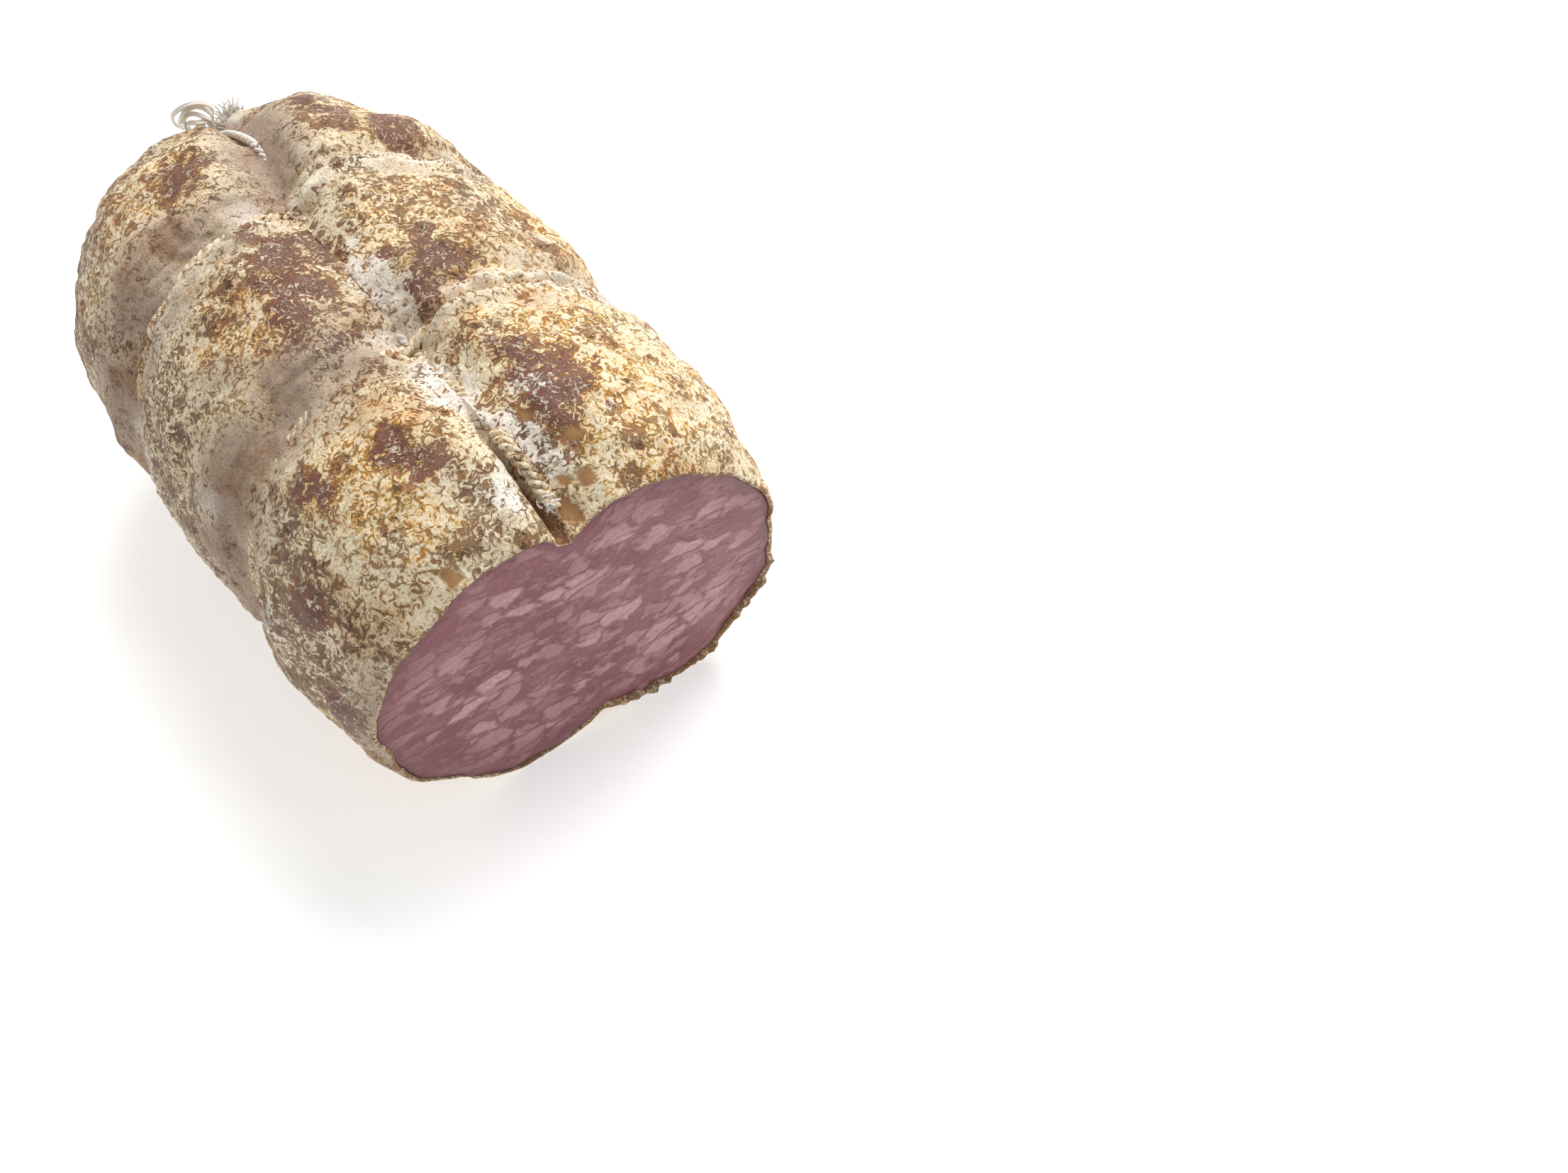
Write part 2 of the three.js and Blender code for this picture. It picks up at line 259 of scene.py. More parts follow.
def skin_over(name, grids, material, marks=None, loop_rows=False):
    """One smooth mesh over grids of points: pieces by rows by columns, each row a ring. Neighbouring points
    make four-cornered faces. Open rows end in a point at the middle of the first and last rings, and looped
    rows join the last ring to the first. Marks are numbers or vectors, one for each point, that the material
    reads."""
    pieces, rows, columns, _ = grids.shape
    points_each = rows * columns + (0 if loop_rows else 2)
    start = np.arange(pieces)[:, None, None] * points_each
    row = np.arange(rows if loop_rows else rows - 1)[None, :, None]
    column = np.arange(columns)[None, None, :]
    here = start + row * columns
    there = start + (row + 1) % rows * columns
    after = (column + 1) % columns
    quads = together(here + column, there + column, there + after, here + after)
    faces = quads.reshape(-1, 4).tolist()

    def with_ends(values):
        flat = values.reshape(pieces, rows * columns, -1)
        if not loop_rows:
            ends = values.reshape(pieces, rows, columns, -1)[:, [0, -1]].mean(2)
            flat = np.concatenate([flat, ends], 1)
        return flat.reshape(-1, flat.shape[-1])

    if not loop_rows:
        ring = np.arange(columns)[None]
        turned = (ring + 1) % columns
        first_row = start[:, :, 0]
        last_row = first_row + (rows - 1) * columns
        tip = first_row + rows * columns
        first_cap = (tip, first_row + ring, first_row + turned)
        last_cap = (tip + 1, last_row + turned, last_row + ring)
        for corners in (first_cap, last_cap):
            faces += together(*corners).reshape(-1, 3).tolist()
    mesh = bpy.data.meshes.new(name)
    mesh.from_pydata(frame_place(with_ends(grids)).tolist(), [], faces)
    for mark, values in (marks or {}).items():
        is_vector = values.ndim == grids.ndim
        attribute = mesh.attributes.new(mark, "FLOAT_VECTOR" if is_vector else "FLOAT", "POINT")
        flat = with_ends(values * 0.001 if is_vector else values).astype(np.float32)
        attribute.data.foreach_set("vector" if is_vector else "value", flat.ravel())
    mesh.polygons.foreach_set("use_smooth", np.ones(len(mesh.polygons), bool))
    mesh.materials.append(material)
    mesh.update()
    piece = bpy.data.objects.new(name, mesh)
    scene.collection.objects.link(piece)
    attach(piece, "root")
    return piece


def add(tree, kind, inputs=None, **settings):
    """A node of that kind. Each input takes a number, a colour or another node's output."""
    node = tree.nodes.new(kind)
    for name, value in settings.items():
        setattr(node, name, value)
    for name, value in (inputs or {}).items():
        if isinstance(value, bpy.types.NodeSocket):
            tree.links.new(value, node.inputs[name])
        else:
            node.inputs[name].default_value = value
    return node


def noise(tree, place, size, detail=3, roughness=0.55, distortion=0):
    """Cloudy noise whose lumps are about size across, in metres."""
    settings = {"Vector": place, "Scale": 1 / size, "Detail": detail, "Roughness": roughness}
    return add(tree, "ShaderNodeTexNoise", {**settings, "Distortion": distortion}).outputs["Fac"]


def between(tree, value, low, high):
    """0 below low and 1 above high, smoothly."""
    settings = {"Value": value, "From Min": low, "From Max": high}
    return add(tree, "ShaderNodeMapRange", settings, interpolation_type="SMOOTHSTEP").outputs["Result"]


def calculate(tree, operation, first, second=0.0, third=0.0):
    """One sum on numbers."""
    inputs = {0: first, 1: second, 2: third}
    return add(tree, "ShaderNodeMath", inputs, operation=operation).outputs[0]


def times(tree, first, second):
    """The first number times the second."""
    return calculate(tree, "MULTIPLY", first, second)


def total(tree, start, *parts):
    """The start, plus each part's value times its strength."""
    for value, strength in parts:
        start = calculate(tree, "MULTIPLY_ADD", value, strength, start)
    return start


def colour(red, green, blue):
    """A colour given as it looks, from 0 to 255, made linear for the shader."""
    looks = np.array([red, green, blue]) / 255
    return (*np.where(looks <= 0.04045, looks / 12.92, ((looks + 0.055) / 1.055) ** 2.4).tolist(), 1)


def mix(tree, share, first, second, blend_type="MIX"):
    """Two colours mixed, from all the first at a share of 0 to all the second at 1."""
    inputs = {"Factor": share, 6: first, 7: second}
    return add(tree, "ShaderNodeMix", inputs, data_type="RGBA", blend_type=blend_type).outputs[2]


def coats(tree, base, *laid):
    """The base colour with coats laid over it in turn, each with its share and its colour as it looks."""
    for share, looks in laid:
        base = mix(tree, share, base, colour(*looks))
    return base


def make_mould_bloom():
    """A node group: cured skin under a bloom of mould. The bloom covers the skin where flaky noise is above a
    level, which rises with bareness and grime and falls with powder and the grooves. It gives colour, height
    and roughness. The groove and grime inputs also darken the colour, partly as painted shade in the grooves
    and on the shaded side."""
    group = bpy.data.node_groups.new("mould_bloom", "ShaderNodeTree")
    group.interface.new_socket("Place", in_out="INPUT", socket_type="NodeSocketVector")
    for name in ("Bare", "Gold", "Powder", "Groove_and_shade", "Grime_and_shade"):
        group.interface.new_socket(name, in_out="INPUT", socket_type="NodeSocketFloat")
    group.interface.new_socket("Color", in_out="OUTPUT", socket_type="NodeSocketColor")
    group.interface.new_socket("Height", in_out="OUTPUT", socket_type="NodeSocketFloat")
    group.interface.new_socket("Roughness", in_out="OUTPUT", socket_type="NodeSocketFloat")
    given = group.nodes.new("NodeGroupInput").outputs
    place, bare, gold, powder, groove_and_shade, grime_and_shade = [
        given[name] for name in ("Place", "Bare", "Gold", "Powder", "Groove_and_shade", "Grime_and_shade")
    ]

    broad = noise(group, place, 0.024, 2)
    middling = noise(group, place, 0.0085, 3)
    clustered = noise(group, place, 0.006, 3, 0.6)
    small = noise(group, place, 0.0032, 3, 0.6)
    flakes = noise(group, place, 0.0014, 4, 0.62, 1.5)
    grain = noise(group, place, 0.0004, 2, 0.6)
    off_small = calculate(group, "SUBTRACT", small, 0.5)
    off_middling = calculate(group, "SUBTRACT", middling, 0.5)
    clusters = between(group, clustered, 0.5, 0.64)
    rougher = total(group, 1.0, (groove_and_shade, -0.55))

    # How far the flaky noise stands above the level that the mould has reached.
    level = total(
        group, 0.425, (bare, 0.15), (powder, -0.04), (groove_and_shade, -0.1), (grime_and_shade, 0.045),
        (times(group, clusters, rougher), 0.085), (off_middling, -0.2),
    )
    above_level = calculate(group, "SUBTRACT", flakes, level)
    bloom = between(group, above_level, -0.05, 0.035)
    crust = between(group, above_level, 0.045, 0.12)

    # The skin under the bloom is tan or brown, amber where the mould is golden. A bare patch is amber along
    # its edge, brown further in, and maroon grey where it is barest. It is darker in the grooves and where it
    # is grimy, partly as painted shade.
    uneven = total(group, bare, (off_small, 1.1), (off_middling, 0.8))
    skin = coats(
        group, mix(group, between(group, broad, 0.35, 0.65), colour(164, 126, 90), colour(138, 102, 76)),
        (between(group, small, 0.5, 0.64), (108, 74, 54)),
        (times(group, between(group, middling, 0.35, 0.6), gold), (190, 128, 54)),
        (between(group, uneven, 0.02, 0.3), (176, 120, 62)),
        (between(group, uneven, 0.25, 0.5), (142, 88, 58)),
        (between(group, uneven, 0.6, 0.95), (124, 76, 60)),
        (between(group, uneven, 1.0, 1.3), (144, 112, 100)),
        (times(group, groove_and_shade, 0.7), (120, 94, 80)),
        (times(group, grime_and_shade, 0.5), (122, 94, 76)),
    )

    # The bloom is cream to beige, golden or white, and it is palest where it is thickest. It is grey in the
    # grooves and where it is grimy, partly as real tone and partly as painted shade.
    stained = times(group, between(group, clustered, 0.52, 0.38), 0.35)
    golden = calculate(group, "MAXIMUM", times(group, gold, 0.95), stained)
    golden = times(group, golden, between(group, small, 0.26, 0.56))
    patchy = total(group, 0.3, (between(group, flakes, 0.36, 0.52), 0.62))
    bloomed = coats(
        group, mix(group, between(group, broad, 0.36, 0.62), colour(212, 190, 152), colour(232, 204, 152)),
        (between(group, small, 0.46, 0.68), (182, 154, 120)),
        (golden, (230, 176, 88)),
        (times(group, grime_and_shade, 0.7), (184, 158, 132)),
        (times(group, crust, 0.72), (252, 242, 214)),
        (times(group, powder, patchy), (252, 244, 232)),
        (times(group, groove_and_shade, 0.85), (158, 132, 116)),
    )

    # Dark pits come in clusters, and broken flecks of white mould lie on the bare skin.
    often = total(group, 0.08, (clusters, 0.8), (grime_and_shade, 0.25))
    pits = between(group, noise(group, place, 0.0012, 2, 0.5, 0.6), 0.57, 0.66)
    pits = times(group, pits, times(group, often, rougher))
    flecks = between(group, noise(group, place, 0.0017, 4, 0.6, 2.4), 0.535, 0.58)
    flecks = times(group, times(group, flecks, between(group, clustered, 0.47, 0.53)), bare)

    shown = coats(
        group, mix(group, bloom, skin, bloomed),
        (pits, (108, 76, 52)), (times(group, flecks, 0.85), (236, 222, 202)),
    )
    weathered = between(group, noise(group, place, 0.012, 3, 0.6), 0.48, 0.66)
    weathered = times(group, weathered, total(group, 0.8, (powder, -0.8)))
    shown = mix(group, weathered, shown, colour(226, 206, 186), "MULTIPLY")
    grain_range = {"Value": grain, "From Min": 0.3, "From Max": 0.7, "To Min": 0.7, "To Max": 1.18}
    shade = add(group, "ShaderNodeMapRange", grain_range).outputs["Result"]
    shade = add(group, "ShaderNodeCombineColor", {0: shade, 1: shade, 2: shade}).outputs[0]
    shown = mix(group, 1.0, shown, shade, "MULTIPLY")

    height = total(group, times(group, flakes, 0.7), (bloom, 0.5))
    height = times(group, height, total(group, 1.0, (groove_and_shade, -0.5)))
    height = total(group, height, (grain, 0.25), (pits, -0.6), (flecks, 0.5))
    rough = total(group, 0.58, (bloom, 0.35))
    result = group.nodes.new("NodeGroupOutput").inputs
    group.links.new(shown, result["Color"])
    group.links.new(height, result["Height"])
    group.links.new(rough, result["Roughness"])
    return group


def finish_with(material, colour_from, height_from, depth, roughness_from, **plain):
    """Joins colour, height and roughness to the material's own shader. Depth is the bump's, in metres."""
    tree = material.node_tree
    shader = tree.nodes["Principled BSDF"]
    bump = add(tree, "ShaderNodeBump", {"Strength": 1.0, "Distance": depth, "Height": height_from})
    tree.links.new(colour_from, shader.inputs["Base Color"])
    tree.links.new(bump.outputs[0], shader.inputs["Normal"])
    if isinstance(roughness_from, bpy.types.NodeSocket):
        tree.links.new(roughness_from, shader.inputs["Roughness"])
    else:
        shader.inputs["Roughness"].default_value = roughness_from
    for name, value in plain.items():
        shader.inputs[name].default_value = value


def new_material(name):
    """A material with its shader, ready for nodes."""
    material = bpy.data.materials.new(name)
    material.use_nodes = True
    return material


def mark(tree, name, output="Fac"):
    """The value that a mesh carries at each point under that name, a number unless Vector is asked for."""
    return add(tree, "ShaderNodeAttribute", attribute_name=name).outputs[output]


def stretched(tree, place, scale):
    """The place with each axis scaled, which draws a texture out along the axes with small scales."""
    return add(tree, "ShaderNodeMapping", {"Vector": place, "Scale": scale}).outputs[0]


def object_place(tree):
    """The place on the piece, in metres."""
    return add(tree, "ShaderNodeTexCoord").outputs["Object"]


mould_bloom = make_mould_bloom()
mouldy_casing = new_material("mouldy_casing")
tree = mouldy_casing.node_tree
place = object_place(tree)
bloom = add(tree, "ShaderNodeGroup", {}, node_tree=mould_bloom)
tree.links.new(place, bloom.inputs["Place"])
for name in ("bare", "gold", "powder", "groove_and_shade", "grime_and_shade"):
    tree.links.new(mark(tree, name), bloom.inputs[name.capitalize()])
windows = mark(tree, "window")
window_colour = mix(tree, noise(tree, place, 0.003), colour(146, 104, 62), colour(182, 136, 84))
shown = mix(tree, windows, bloom.outputs["Color"], window_colour)
dried_colour = mix(tree, noise(tree, place, 0.0012), colour(96, 58, 34), colour(186, 132, 82))
shown = mix(tree, mark(tree, "dried"), shown, dried_colour)
height = times(tree, bloom.outputs["Height"], total(tree, 1.0, (windows, -0.8)))
rough = total(tree, bloom.outputs["Roughness"], (windows, -0.35))
finish_with(mouldy_casing, shown, height, 0.00034, rough)

# Bare, golden, powdery, grimy and clear spots: the station and the turn in degrees of the middle, then half
# the length and half the width. The grimy spots, most of them on the left, are partly painted shade.
bare_spots = [
    (21, 75, 9, 8), (13, 79, 6, 3), (17, 105, 5, 4), (22, 109, 5, 3), (27, 126, 5, 4), (16, 146, 5, 4),
    (5, 170, 5, 6), (27, 158, 4, 4), (71, 98, 8, 7), (54, 106, 10, 7), (62, 102, 8, 6), (54, 75, 7, 5),
    (49, 81, 4, 3), (104, 64, 10, 6), (93, 54, 8, 5), (101, 105, 6, 5), (30, 20, 9, 7), (66, 5, 7, 9),
    (104, -12, 9, 7), (24, -35, 8, 8), (92, 178, 8, 6), (62, -160, 10, 8), (118, -70, 9, 8),
    (50, -75, 9, 8), (128, 20, 6, 7), (126, 160, 6, 6),
]
gold_spots = [
    (14, 58, 16, 16), (50, 58, 14, 12), (68, 66, 11, 9), (56, 120, 14, 9), (24, 116, 13, 11),
    (62, 88, 7, 5), (66, 75, 7, 6), (57, 118, 9, 8), (9, 112, 8, 5), (100, 112, 12, 10),
    (110, 45, 10, 10), (95, 140, 9, 8), (60, 28, 16, 14), (20, 15, 16, 14), (32, 62, 8, 12),
    (20, -150, 12, 10), (90, -40, 12, 12), (30, 172, 8, 8),
]
powder_spots = [
    (84, 99, 4, 3), (56, 86, 8, 4), (19, 78, 4, 3), (20, 91, 6, 3), (9, 97, 4, 3), (12, 85, 8, 3),
    (30, 92, 8, 4), (45, 92, 4, 6), (24, 160, 4, 3), (45, 150, 5, 3), (75, 165, 6, 4), (70, -20, 8, 5),
    (110, -110, 8, 6), (15, -80, 7, 6), (128, 80, 6, 5),
]
grime_and_shade_spots = [
    (63, 139, 9, 9), (58, 128, 6, 5), (70, 120, 6, 5), (106, 130, 16, 12), (120, 110, 12, 12),
    (30, 140, 9, 8), (12, 152, 12, 9), (4, 172, 5, 14), (60, 160, 16, 12), (100, 165, 16, 14),
    (62, 92, 8, 4), (100, 88, 14, 5), (30, 175, 14, 12), (36, 100, 5, 10), (72, 110, 4, 14),
    (56, 165, 14, 14), (66, 150, 10, 9), (115, 60, 10, 8), (90, 20, 10, 8), (40, -60, 14, 12),
    (66, 66, 12, 10), (94, 150, 14, 16), (92, 120, 8, 8), (98, 92, 10, 9), (62, 56, 14, 12),
    (98, 78, 10, 8),
]
window_spots = [
    (10, 78, 1.9, 1.4), (6, 84, 1.2, 1.0), (4, 80, 1.3, 1.6), (17, 83, 1.6, 1.0), (3, 86, 3, 1.6),
    (2, 117, 2, 1.4), (35, 10, 2, 1.4), (70, -30, 2, 1.5), (95, 168, 1.8, 1.3),
]


def spotted(places, spots, seed, edge=(0.45, 1.5)):
    """1 inside each spot and 0 outside it. The edge is where the distance from the middle, over the half
    length and half width, passes one, moved in and out by ripples."""
    shown = np.zeros(places.shape[:-1])
    ragged = 0.3 * ripple(places, 6, seed) + 0.16 * ripple(places, 2.5, seed + 1)
    for along, degrees, half_length, half_width in spots:
        offset = places - body_point(np.array(float(along)), np.array(math.radians(degrees)))
        sideways = np.hypot(offset[..., 0], offset[..., 2])
        distance = np.hypot(offset[..., 1] / half_length, sideways / half_width)
        shown = np.maximum(shown, 1 - ease(distance + ragged, *edge))
    return shown


columns = 320
even_turns = np.arange(columns) * 2 * math.pi / columns
turns = even_turns + 0.15 * np.sin(2 * even_turns)
outer_stations = np.linspace(0.05, last_station, 262)
inner_stations = (last_station * np.linspace(0, 1, 13) ** 1.4)[::-1]


def rim_raggedness(turn):
    """How far the cut edge of the casing is torn, larger along the lower right, from ripples round it."""
    ring = together(body_width / 2 * np.cos(turn), 0 * turn, body_width / 2 * np.sin(turn))
    degrees = in_degrees(turn)
    torn = ease(degrees, -100, -80) * (1 - ease(degrees, -30, 0))
    fine = 0.4 + 0.4 * ripple(ring, 3.4, 71) + 0.25 * ripple(ring, 1.5, 73)
    return 0.1 * ripple(ring, 5, 70) + torn * (0.3 + 0.9 * np.clip(fine, 0, 1.4)), torn


def on_cut(points):
    """The points moved along Y into the slanting plane of the cut."""
    flat = points.copy()
    flat[..., 1] = cut_slant * flat[..., 0]
    return flat


along, turn = np.meshgrid(outer_stations, turns, indexing="ij")
smooth = body_point(along, turn)
outward = body_normal(along, turn)
relief = skin_relief(along, turn, smooth)
torn_by, torn = rim_raggedness(turns)
lip = (1 - ease(outer_stations, 0, 3))[:, None]
relief = relief + lip * torn * (0.5 + 0.35 * ripple(smooth, 3.5, 72))
outer = smooth + outward * relief[..., None]
outer[..., 1] -= (1 - ease(outer_stations, 0, 1.5))[:, None] * torn_by
outer[..., 2] = np.maximum(outer[..., 2], 0)

in_along, in_turn = np.meshgrid(inner_stations, turns, indexing="ij")
inner_depth = casing_wall + 6 * ease(in_along, 0, 14)
inner = body_point(in_along, in_turn) - inner_depth[..., None] * body_normal(in_along, in_turn)
lip_free = smooth[0] + outward[0] * (relief[0] - lip[0] * torn * 0.5)[:, None]
inner[-1] = on_cut(lip_free - casing_wall * outward[0])
inner[-1, :, 1] -= 0.5 * torn_by
rim = 0.5 * (inner[-1] + outer[0])
rim[:, 1] = np.minimum(inner[-1, :, 1], outer[0, :, 1]) - 0.12

# The neck, from the gathered middle of the rounded end, and its frill beyond the tie.
neck_tilt = 0.42
neck_turn = -0.26
neck_radius = 3.2
neck_tie_at = 5.5
neck_ahead = np.array([
    -math.sin(neck_turn) * math.cos(neck_tilt),
    math.cos(neck_turn) * math.cos(neck_tilt),
    math.sin(neck_tilt),
])
neck_side = np.array([math.cos(neck_turn), math.sin(neck_turn), 0])
neck_up = np.cross(neck_side, neck_ahead)
neck_root = np.array([end_veer, body_length, body_height / 2 - resting_sink])


def neck_point(sideways, out, upwards):
    """A place by the neck: its root, and so far to its side, out along it and above it."""
    return neck_root + together(sideways, out, upwards) @ np.stack([neck_side, neck_ahead, neck_up])


# The neck's rings: how far out, the radius, and how deep the pleats are.
neck_rings = np.array([
    (3.3, 3.4, 0.5), (4.4, 3.0, 0.35), (6.6, 3.0, 0.3), (8.8, 3.1, 0.4), (9.6, 3.5, 0.7), (10.4, 3.9, 0.9),
    (11.3, 4.2, 1.2), (12.0, 4.4, 1.4), (12.4, 4.3, 1.4), (12.1, 3.9, 1.3), (11.0, 3.3, 0.9), (9.8, 1.8, 0.4),
])
pleats = np.sin(11 * turns + 0.8 * np.sin(3 * turns)) + 0.35 * np.sin(23 * turns + 1)
ring_out, ring_size, pleat_depth = neck_rings.T[..., None]
ring_radius = ring_size + pleat_depth * pleats * 0.6
ring_out = ring_out + 0.5 * pleat_depth * np.sin(4 * turns + 1)
neck = neck_point(ring_radius * np.cos(turns), ring_out, ring_radius * np.sin(turns))
share = np.linspace(0, 1, 8)[1:-1, None, None]
shoulder = (1 - share) * outer[-1] + share * neck[0]
middle = (1 - share) * outer[-1].mean(0) + share * neck[0].mean(0)
shoulder = middle + (shoulder - middle) * (1 - 0.28 * np.sin(math.pi * share))
skin = np.concatenate([inner, rim[None], outer, shoulder, neck])

# How bare, golden, powdery, clear, grooved, dried and grimy each point of the outer skin is. The grooved
# and grimy marks are partly painted shade.
x = smooth[..., 0]
on_top = np.sin(turn) > 0
bare = spotted(smooth, bare_spots, 80, (0.5, 1.35))
gold = 0.25 * ease(ripple(smooth, 30, 96), 0, 0.8) + spotted(smooth, gold_spots, 83)
powder = spotted(smooth, powder_spots, 86)
window = spotted(smooth, window_spots, 89, (0.8, 1.1))
cloudy = 0.75 + 0.35 * ripple(smooth, 22, 90)
# Painted shade: the left side, away from the lamp, is made grimier and so darker. The mark also rises towards
# the neck end and along the middle of the top.
shade_and_duller = 0.4 * ease(-x, 24, 42) + 0.2 * ease(along, 96, 128) + 0.2 * on_top * bell(x, 9)
grime_and_shade = 0.65 * spotted(smooth, grime_and_shade_spots, 91) + cloudy * shade_and_duller
crack = on_top * (1 - ease(along, 15, 24)) * bell(x + 1.6, 0.8)
open_groove = on_top * (1 - ease(along, 4, 8)) * bell(x + 0.6, 1.7)
dried = np.clip(crack + 0.6 * open_groove, 0, 1)
bare = np.maximum(bare, open_groove)
groove_and_shade = np.zeros(along.shape)
# The groove mark greys the mould in each girth groove and paints shade there. It is stronger and wider on the
# left, away from the lamp.
wider = ease(-x, 0, 20)
for girth in girths.values():
    behind = from_girth(girth, along, x, turn)
    bands = overgrown_bands(girth, behind, in_degrees(turn), smooth)
    from_groove = behind - 1 - 3.2 * wider + 1.6 * ripple(smooth, 9, 97)
    in_groove_and_shade = (0.5 + 0.5 * ease(-x, -10, 20)) * bell(from_groove, 6.5 + 2.8 * wider)
    groove_and_shade = np.maximum(groove_and_shade, in_groove_and_shade) * (1 - 0.8 * bands)
    grime_and_shade = grime_and_shade * (1 - 0.8 * bands)
    powder = np.maximum(powder, 0.6 * bands)
# More painted shade low on the far left by the cut.
groove_and_shade = np.maximum(groove_and_shade, 0.7 * bell(along, 7) * ease(-x, 26, 38))
# Greying and painted shade along the top groove behind the rear girth, and in a strip along the top string
# further forward.
behind_rear = bell(x - top_line(along) - 2, 6.5) * ease(along, 84, 92)
over_top = on_top * (behind_rear + 0.3 * bell(x, 5) * ease(along, 44, 50))
groove_and_shade = np.maximum(groove_and_shade, over_top) + 0.15 * ripple(smooth, 12, 98)
# Each mark on the outer skin, then its value on the inner wall and the rim, and on the neck.
skin_marks = {
    "bare": (bare, 0.2, 0), "gold": (gold, 0, 0), "powder": (powder, 0, 0.7), "window": (window, 0, 0),
    "groove_and_shade": (groove_and_shade, 0, 0.3), "dried": (dried, 0.3, 0), "grime_and_shade": (grime_and_shade, 0.4, 0),
}


def on_whole_skin(values, inside, at_neck):
    """A mark for the whole skin, from the inner wall to the neck, kept between 0 and 1."""
    before = np.full((len(inner) + 1, columns), inside)
    after = np.full((len(shoulder) + len(neck), columns), at_neck)
    return np.concatenate([before, np.clip(values, 0, 1), after])[None]


casing = skin_over(
    "casing_skin", skin[None], mouldy_casing,
    {name: on_whole_skin(*values) for name, values in skin_marks.items()},
)
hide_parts("casing")

# ---- Meat ----
# Minced lean and diced fat, pressed together and dried: the fat lies in flattened pieces that follow the oval
# and bend under the notch. The cut face is even, and the rest fills the casing.
face_shares = np.linspace(0.02, 1, 66)
face_edge = lip_free - (casing_wall - 0.12) * outward[0]
edge_middle = face_edge.mean(0)
from_middle = face_edge - edge_middle
# The edge's points are kept in order round the middle, so that the face doesn't fold at the notch.
edge_angle = np.maximum.accumulate(np.unwrap(np.arctan2(from_middle[:, 2], from_middle[:, 0])))
edge_reach = np.hypot(from_middle[:, 0], from_middle[:, 2])
around_middle = together(np.cos(edge_angle), 0, np.sin(edge_angle)) * edge_reach[:, None]
face_ring = on_cut(edge_middle + around_middle)
face_middle = face_ring.mean(0)
face = face_middle + face_shares[:, None, None] * (face_ring - face_middle)
side_stations = 0.6 + (last_station - 0.6) * np.linspace(0, 1, 14) ** 1.4
side_along, side_turn = np.meshgrid(side_stations, turns, indexing="ij")
side_depth = casing_wall + 0.5 + 6 * ease(side_along, 0, 14)
sides = body_point(side_along, side_turn) - side_depth[..., None] * body_normal(side_along, side_turn)
face[..., 1] += 0.25 * ease(face_shares, 0.9, 1)[:, None] - 0.12 * ripple(face, 9, 101)
meat_places = np.concatenate([face, sides])
meat_flow = meat_places.copy()
level_in_face = meat_places[..., 2] - face_middle[2]
meat_flow[..., 2] += 0.0035 * meat_places[..., 0] ** 2 * np.tanh(level_in_face / 12)
meat_flow[..., 2] += 7 * bell(meat_places[..., 0] + 1, 9) * np.clip(level_in_face / 36, 0, 1) ** 1.5
meat_flow = meat_flow[None]
meat_rim = np.concatenate([np.repeat(face_shares[:, None], columns, 1), np.ones((14, columns))])[None]

cured_meat = new_material("cured_meat")
tree = cured_meat.node_tree
flow = mark(tree, "flow", "Vector")
place = object_place(tree)


def wandering(tree, place, size, amount):
    """The place moved about by cloudy noise: size is the noise's, amount how far, both in metres."""
    push = add(tree, "ShaderNodeTexNoise", {"Vector": place, "Scale": 1 / size, "Detail": 2}).outputs["Color"]
    push = add(tree, "ShaderNodeVectorMath", {0: push, 1: (0.5, 0.5, 0.5)}, operation="SUBTRACT").outputs[0]
    push = add(tree, "ShaderNodeVectorMath", {0: push, "Scale": 2 * amount}, operation="SCALE").outputs[0]
    return add(tree, "ShaderNodeVectorMath", {0: place, 1: push}, operation="ADD").outputs[0]


def fat_pieces(tree, flow, length, width, share_of_fat, soft):
    """Three values over stretched random cells, length by width: how much a place is fat, which is 1 inside
    the cells whose random number is under the share of fat, that number, and the distance to the edge."""
    cells = {"Vector": stretched(tree, flow, (1 / length, 1 / width, 1 / width)), "Scale": 1.0}
    number = add(tree, "ShaderNodeTexVoronoi", cells, feature="F1").outputs["Color"]
    number = add(tree, "ShaderNodeSeparateColor", {0: number}).outputs[0]
    edge = add(tree, "ShaderNodeTexVoronoi", cells, feature="DISTANCE_TO_EDGE").outputs["Distance"]
    is_fat = calculate(tree, "LESS_THAN", number, share_of_fat)
    return times(tree, is_fat, between(tree, edge, 0.0, soft)), number, edge


moved = wandering(tree, wandering(tree, flow, 0.012, 0.003), 0.0022, 0.0011)
large, large_number, _ = fat_pieces(tree, moved, 0.0064, 0.004, 0.4, 0.16)
moved = wandering(tree, wandering(tree, flow, 0.01, 0.0025), 0.0018, 0.0009)
medium, medium_number, medium_edge = fat_pieces(tree, moved, 0.0042, 0.0026, 0.42, 0.2)
drawn = stretched(tree, moved, (0.62, 1, 1))
cloud = between(tree, noise(tree, drawn, 0.0026, 4, 0.62, 0.9), 0.5, 0.6)
mottle = noise(tree, drawn, 0.0009, 4, 0.65)
blotch = noise(tree, flow, 0.014, 2)
lean = mix(tree, between(tree, blotch, 0.38, 0.62), colour(122, 54, 62), colour(136, 72, 76))
fat = mix(tree, between(tree, large_number, 0.05, 0.36), colour(200, 154, 152), colour(172, 126, 132))
fat = coats(tree, fat, (between(tree, mottle, 0.4, 0.8), (152, 104, 110)))
medium_fat = mix(tree, between(tree, medium_number, 0.05, 0.4), colour(172, 122, 126), colour(148, 98, 106))
shown = coats(
    tree, lean,
    (between(tree, mottle, 0.42, 0.75), (106, 48, 56)), (times(tree, cloud, 0.6), (154, 104, 110)),
)
shown = mix(tree, times(tree, medium, 0.75), shown, medium_fat)
crease = calculate(tree, "SUBTRACT", 1.0, between(tree, medium_edge, 0.0, 0.07))
shown = coats(tree, shown, (times(tree, crease, 0.22), (92, 44, 50)))
shown = mix(tree, times(tree, large, 0.85), shown, fat)
